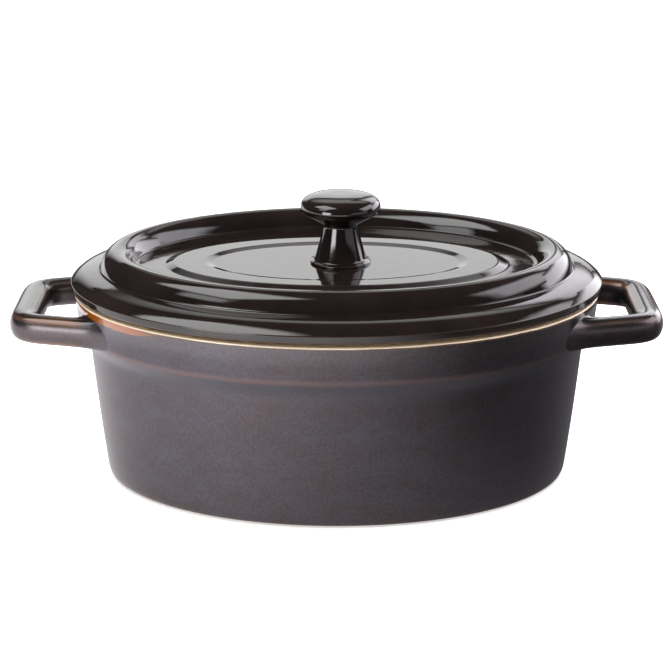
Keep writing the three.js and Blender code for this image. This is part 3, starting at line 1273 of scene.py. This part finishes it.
@dataclass(frozen=True)
class Softbox:
    """A rectangular soft light that faces the dish.

    Attributes:
        name: the light's name.
        place: its centre.
        size: its width and height.
        brightness: how bright its face is; 1 shows as white.
        colour: its tint.
        mirrored: whether glossy surfaces show it.
    """

    name: str
    place: tuple[float, float, float]
    size: tuple[float, float]
    brightness: float
    colour: Colour = WHITE
    mirrored: bool = True

    def build(self, target: Vector) -> None:
        """Adds the light.

        Args:
            target: the point that it faces.
        """
        light = bpy.data.lights.new(self.name, "AREA")
        light.shape = "RECTANGLE"
        light.size, light.size_y = self.size
        light.energy = FACE_POWER * self.size[0] * self.size[1] * self.brightness
        light.color = self.colour
        lamp = bpy.data.objects.new(self.name, light)
        lamp.location = self.place
        lamp.rotation_euler = (target - Vector(self.place)).to_track_quat("-Z", "Y").to_euler()
        lamp.visible_glossy = self.mirrored
        bpy.context.scene.collection.objects.link(lamp)


@dataclass(frozen=True)
class GlowCard:
    """A glowing card with soft edges, for glossy surfaces to show. The camera doesn't see it.

    Attributes:
        name: the card's name.
        place: its centre.
        size: its width and height.
        brightness: how bright its middle is; 1 shows as white.
        soft_side: share of its width over which it fades at either side.
        soft_end: share of its height over which it fades at top and bottom.
        colour: its tint.
    """

    name: str
    place: tuple[float, float, float]
    size: tuple[float, float]
    brightness: float
    soft_side: float = 0.25
    soft_end: float = 0.25
    colour: Colour = WHITE

    def fade(self, along: Value, share: float) -> Value:
        """Runs from 0 at both ends of a side to 1 over the given share of it."""
        return along.ramp(0, share) * along.ramp(1, 1 - share)

    def material(self) -> bpy.types.Material:
        """The glow, brightest in the middle."""
        graph = Graph(self.name)
        texture = graph.node("ShaderNodeTexCoord", {}, {})
        flat = graph.node("ShaderNodeSeparateXYZ", {}, {"Vector": texture.outputs["UV"]})
        across = Value(graph, flat.outputs["X"])
        up = Value(graph, flat.outputs["Y"])
        amount = self.fade(across, self.soft_side) * self.fade(up, self.soft_end)
        glow = graph.mix(amount, BLACK, self.colour)
        uniform = {
            "Base Color": BLACK,
            "Specular IOR Level": 0.0,
            "Emission Strength": self.brightness,
        }
        return graph.finish(uniform, {"Emission Color": glow})

    def build(self, target: Vector) -> None:
        """Models the card.

        Args:
            target: the point that it faces.
        """
        Modelling.clear_selection()
        bpy.ops.mesh.primitive_plane_add(size=1, location=(0, 0, 0))
        card = bpy.context.object
        card.name = card.data.name = self.name
        turn = (target - Vector(self.place)).to_track_quat("Z", "Y").to_matrix().to_4x4()
        size = Matrix.Diagonal((*self.size, 1, 1))
        card.data.transform(Matrix.Translation(self.place) @ turn @ size)
        card.data.materials.append(self.material())
        card.visible_camera = False
        card.visible_shadow = False


@dataclass
class Studio:
    """Pale floor, soft lights and the camera.

    Attributes:
        elevation: degrees that the camera looks down by.
        distance: from the camera to what it looks at.
        aim_height: height of what it looks at.
        aim_side: place of that along X.
        lens: the camera's focal length in millimetres.
        sensor: its sensor's width in millimetres.
        floor_size: side of the floor.
        floor_glow: the floor's own brightness.
        wash: brightness of the light over the floor.
        bounce_left: brightness of the tones that glossy surfaces show at the left.
        bounce_right: their brightness at the right.
        bounce_from: where along X they are darkest.
        bounce_to: where along X they are brightest.
        bounce_slant: how far both places move with Y.
        bounce_depth: how far the sheet that holds these tones lies under the floor.
        room: the dim light of the rest of the room.
    """

    elevation: float = 17.39
    distance: float = 1.0999
    aim_height: float = 0.070
    aim_side: float = -0.0008
    lens: float = 115.8
    sensor: float = 36.0
    floor_size: float = 8.0
    floor_glow: float = 0.35
    wash: float = 2.7
    bounce_left: float = 1.8
    bounce_right: float = 0.03
    bounce_from: float = 0.21
    bounce_to: float = -0.25
    bounce_slant: float = 0.45
    bounce_depth: float = 2 * MM
    room: Colour = (0.06, 0.056, 0.058)

    def build_sheet(self, name: str, height: float, material: bpy.types.Material) -> bpy.types.Object:
        """Lays a level sheet across the whole studio.

        Args:
            name: the sheet's name.
            height: its place along Z.
            material: its material.

        Returns:
            The sheet.
        """
        Modelling.clear_selection()
        bpy.ops.mesh.primitive_plane_add(size=self.floor_size, location=(0, 0, 0))
        sheet = bpy.context.object
        sheet.name = sheet.data.name = name
        bpy.ops.object.mode_set(mode="EDIT")
        bpy.ops.mesh.select_all(action="SELECT")
        bpy.ops.transform.translate(value=(0, 0, height))
        bpy.ops.object.mode_set(mode="OBJECT")
        sheet.data.materials.append(material)
        return sheet

    def build_floor(self) -> None:
        """Pale floor, and under it the tones that glossy surfaces show instead: dark on the right."""
        paper = Graph("studio_paper")
        tone = paper.mix(paper.noise(0.4, detail=2), (0.86, 0.86, 0.86), (0.90, 0.90, 0.90))
        uniform = {
            "Specular IOR Level": 0.1,
            "Emission Color": WHITE,
            "Emission Strength": self.floor_glow,
        }
        paper.finish(uniform, {"Base Color": tone, "Roughness": 0.9})
        self.build_sheet("studio_floor", 0, paper.material).visible_glossy = False

        bounce = Graph("studio_bounce")
        left = (self.bounce_left, self.bounce_left * 0.96, self.bounce_left * 0.98)
        right = (self.bounce_right, self.bounce_right * 0.9, self.bounce_right)
        away = bounce.axis("X") + (bounce.axis("Y") + EDGE_HALF_WIDTH) * self.bounce_slant
        glow = bounce.mix(away.ramp(self.bounce_from, self.bounce_to), right, left)
        uniform = {"Base Color": BLACK, "Emission Strength": 1.0}
        bounce.finish(uniform, {"Emission Color": glow})
        bounce.material.cycles.emission_sampling = "NONE"
        self.build_sheet("studio_bounce", -self.bounce_depth, bounce.material)

    def build_lights(self) -> None:
        """Soft cards for the glaze to show, and an even wash over the floor."""
        target = Vector((0, 0, self.aim_height))
        cards = (
            GlowCard("backdrop_card", (-0.05, 2.0, 0.68), (2.5, 1.25), 1.75, 0.30, 0.22),
            GlowCard("upper_card", (0.1, 1.5, 1.40), (2.2, 1.1), 1.1, 0.35, 0.4),
            GlowCard("key_card", (-0.60, -0.18, 1.15), (1.05, 0.90), 4.3, 0.15, 0.2),
            GlowCard("left_box", (-0.85, -1.0, 0.24), (0.75, 0.5), 9.5),
            GlowCard("back_right_panel", (1.06, 0.83, 0.44), (1.6, 0.8), 4.4, 0.15, colour=LAVENDER),
            GlowCard("high_right_card", (0.60, 1.20, 0.72), (0.95, 0.75), 3.0, colour=LAVENDER),
            GlowCard("right_panel", (1.2, 0.12, 0.80), (1.7, 0.95), 3.4, colour=LAVENDER),
            GlowCard("left_panel", (-1.0, -0.62, 0.88), (0.7, 0.55), 2.6),
            GlowCard("front_right_card", (1.1, -0.75, 0.22), (1.6, 0.45), 0.7, 0.15, colour=LAVENDER),
        )
        for card in cards:
            card.build(target)
        Softbox("floor_wash", (0, 0.6, 2.6), (4.5, 4.5), self.wash, mirrored=False).build(target)

    def build_room(self) -> None:
        """Dim even light from the rest of the room."""
        world = bpy.data.worlds.new("room")
        world.use_nodes = True
        background = next(node for node in world.node_tree.nodes if node.type == "BACKGROUND")
        background.inputs["Color"].default_value = (*self.room, 1)
        background.inputs["Strength"].default_value = 1.0
        bpy.context.scene.world = world

    def build_camera(self) -> None:
        """Camera a little above the dish, looking along +Y."""
        tilt = math.radians(self.elevation)
        aim = Vector((self.aim_side, 0, self.aim_height))
        camera = bpy.data.cameras.new("camera")
        camera.lens = self.lens
        camera.sensor_width = self.sensor
        viewer = bpy.data.objects.new("camera", camera)
        viewer.location = aim + Vector((0, -math.cos(tilt), math.sin(tilt))) * self.distance
        viewer.rotation_euler = (aim - viewer.location).to_track_quat("-Z", "Y").to_euler()
        bpy.context.scene.collection.objects.link(viewer)
        bpy.context.scene.camera = viewer

    def build(self) -> None:
        """Sets up the whole studio."""
        self.build_floor()
        self.build_lights()
        self.build_room()
        self.build_camera()
        bpy.context.scene.view_settings.view_transform = "Standard"
        log.info("studio ready")


def main() -> None:
    """Builds the casserole and its studio."""
    logging.basicConfig(level=logging.INFO, format="%(name)s: %(message)s")
    vessel = Vessel()
    vessel.dress(vessel.build())

    handle_glaze = SatinGlaze(
        "satin_handle_glaze",
        breaks=0.7,
        break_from=0.40,
        break_full=0.80,
        luted_to=0.122,
        coat=0.2,
        brown=(0.098, 0.077, 0.072),
        blue=(0.092, 0.080, 0.088),
    ).material()
    handle = LoopHandle()
    for side in Side:
        handle.dress(handle.build(side), handle_glaze, side)

    lid = Lid()
    lid.dress(lid.build(), lid.build_locating_rim())

    knob = Knob()
    knob.dress(knob.build())

    Studio().build()


if __name__ == "__main__":
    main()
